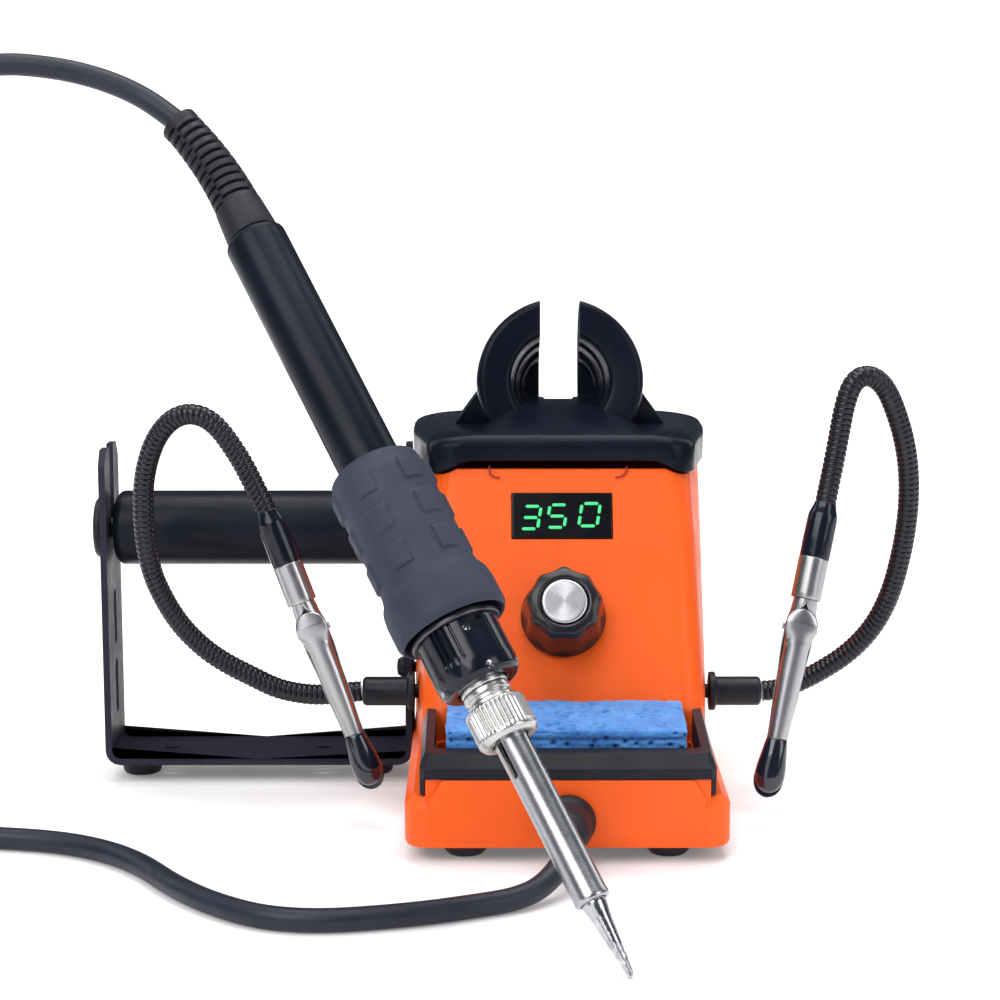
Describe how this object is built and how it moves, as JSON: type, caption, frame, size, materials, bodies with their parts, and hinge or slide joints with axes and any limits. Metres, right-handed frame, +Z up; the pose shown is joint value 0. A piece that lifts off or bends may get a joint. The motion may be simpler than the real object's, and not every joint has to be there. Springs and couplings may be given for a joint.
{
  "type": "soldering iron station",
  "caption": "Soldering station with digital temperature display, corded iron, sponge tray, iron holder, solder spool bracket and two gooseneck helping hands",
  "frame": {"origin": "On the table, under the middle of the object's box, measured without the iron's cord", "axes": "+Z up, front toward -Y, +X to the right as seen from the front"},
  "size_m": [0.3486, 0.21, 0.198],
  "materials": {
    "orange_plastic": "satin",
    "black_gloss_plastic": "gloss",
    "black_satin_plastic": "satin",
    "black_rubber": "matte",
    "grip_rubber": "matte",
    "clip_boot_vinyl": "gloss",
    "powder_coated_steel": "satin",
    "gooseneck_steel": "satin",
    "nickel_plated_steel": "gloss",
    "stainless_steel": "satin",
    "tinned_copper": "satin",
    "cellulose_sponge": "matte",
    "display_module": "satin",
    "circuit_board": "satin",
    "potentiometer_metal": "satin",
    "lamination_steel": "satin",
    "copper_winding": "satin",
    "ceramic": "matte"
  },
  "bodies": {
    "base": {"body_shell": "orange_plastic", "bottom_plate": "black_satin_plastic", "bracket_foot_inner": "black_rubber", "bracket_foot_outer": "black_rubber", "bracket_screw": "powder_coated_steel", "control_pcb": "circuit_board", "cord_boot": "black_rubber", "cord_coil": "black_rubber", "cord_lower": "black_rubber", "cord_tie": "black_satin_plastic", "cord_upper": "black_rubber", "display_window": "black_gloss_plastic", "foot_back_left": "black_rubber", "foot_back_right": "black_rubber", "foot_front_left": "black_rubber", "foot_front_right": "black_rubber", "hand_ferrule_left": "black_satin_plastic", "hand_ferrule_right": "black_satin_plastic", "led_display": "display_module", "mains_inlet": "black_satin_plastic", "potentiometer": "potentiometer_metal", "spool_bracket": "powder_coated_steel", "switch_frame": "black_satin_plastic", "top_cap": "black_gloss_plastic", "transformer_coil": "copper_winding", "transformer_core": "lamination_steel", "tray_frame": "black_satin_plastic"},
    "knob": {"knob": "black_gloss_plastic", "knob_inlay": "stainless_steel"},
    "rocker": {"rocker": "black_satin_plastic"},
    "roller": {"spool_roller": "black_satin_plastic", "roller_spindle": "black_satin_plastic"},
    "sponge": {"sponge": "cellulose_sponge"},
    "iron": {"handle_tube": "black_gloss_plastic", "grip": "grip_rubber", "front_collar": "black_gloss_plastic", "heater_neck": "nickel_plated_steel", "heater": "ceramic", "tip_sheath": "stainless_steel", "tip": "tinned_copper", "strain_relief": "black_rubber"},
    "nut": {"sheath_nut": "nickel_plated_steel"},
    "arm_left": {"gooseneck_left": "gooseneck_steel", "hand_sleeve_left": "black_gloss_plastic"},
    "clip_left": {"clip_base_left": "nickel_plated_steel", "clip_pin_left": "nickel_plated_steel", "clip_boot_back_left": "clip_boot_vinyl"},
    "jaw_left": {"clip_jaw_left": "nickel_plated_steel", "clip_boot_front_left": "clip_boot_vinyl"},
    "arm_right": {"gooseneck_right": "gooseneck_steel", "hand_sleeve_right": "black_gloss_plastic"},
    "clip_right": {"clip_base_right": "nickel_plated_steel", "clip_pin_right": "nickel_plated_steel", "clip_boot_back_right": "clip_boot_vinyl"},
    "jaw_right": {"clip_jaw_right": "nickel_plated_steel", "clip_boot_front_right": "clip_boot_vinyl"}
  },
  "joints": [
    {"name": "knob_turn", "type": "hinge", "parent": "base", "child": "knob", "pos_m": [0.01714, 0.02377, 0.05148], "axis": [0, -0.866, 0.5], "range_deg": [-140, 140]},
    {"name": "rocker_tilt", "type": "hinge", "parent": "base", "child": "rocker", "pos_m": [0.02914, 0.10057, 0.032], "axis": [1, 0, 0], "range_deg": [0, 10]},
    {"name": "roller_spin", "type": "hinge", "parent": "base", "child": "roller", "pos_m": [-0.06596, 0.05837, 0.0696], "axis": [1, 0, 0], "continuous": true},
    {"name": "sponge_lift", "type": "slide", "parent": "base", "child": "sponge", "axis": [0, -0.1483, 0.9889], "range_m": [0, 0.012]},
    {"name": "iron_lift", "type": "slide", "parent": "base", "child": "iron", "axis": [-0.4374, 0.4868, 0.7561], "range_m": [0, 0.05], "deforming": ["cord_upper"]},
    {"name": "nut_turn", "type": "hinge", "parent": "iron", "child": "nut", "pos_m": [0.02854, -0.10453, 0.00035], "axis": [-0.4374, 0.4868, 0.7561], "range_deg": [0, 720]},
    {"name": "arm_left_swivel", "type": "hinge", "parent": "base", "child": "arm_left", "pos_m": [-0.02786, 0.03437, 0.029], "axis": [-1, 0, 0], "range_deg": [0, 18]},
    {"name": "clip_left_turn", "type": "hinge", "parent": "arm_left", "child": "clip_left", "pos_m": [-0.05966, 0.01737, 0.0804], "axis": [0.3619, -0.1288, -0.9233], "range_deg": [-90, 90]},
    {"name": "jaw_left_open", "type": "hinge", "parent": "clip_left", "child": "jaw_left", "pos_m": [-0.0479, 0.01319, 0.05039], "axis": [-0.9322, -0.05, -0.3584], "range_deg": [0, 20], "stiffness_Nm_per_rad": 0.02, "springref_deg": -20.05},
    {"name": "arm_right_swivel", "type": "hinge", "parent": "base", "child": "arm_right", "pos_m": [0.06214, 0.03437, 0.029], "axis": [-1, 0, 0], "range_deg": [0, 60]},
    {"name": "clip_right_turn", "type": "hinge", "parent": "arm_right", "child": "clip_right", "pos_m": [0.08454, 0.01637, 0.0826], "axis": [-0.2117, -0.2345, -0.9488], "range_deg": [-90, 90]},
    {"name": "jaw_right_open", "type": "hinge", "parent": "clip_right", "child": "jaw_right", "pos_m": [0.07766, 0.00875, 0.05176], "axis": [-0.9773, 0.0508, 0.2055], "range_deg": [0, 20], "stiffness_Nm_per_rad": 0.02, "springref_deg": -20.05}
  ]
}
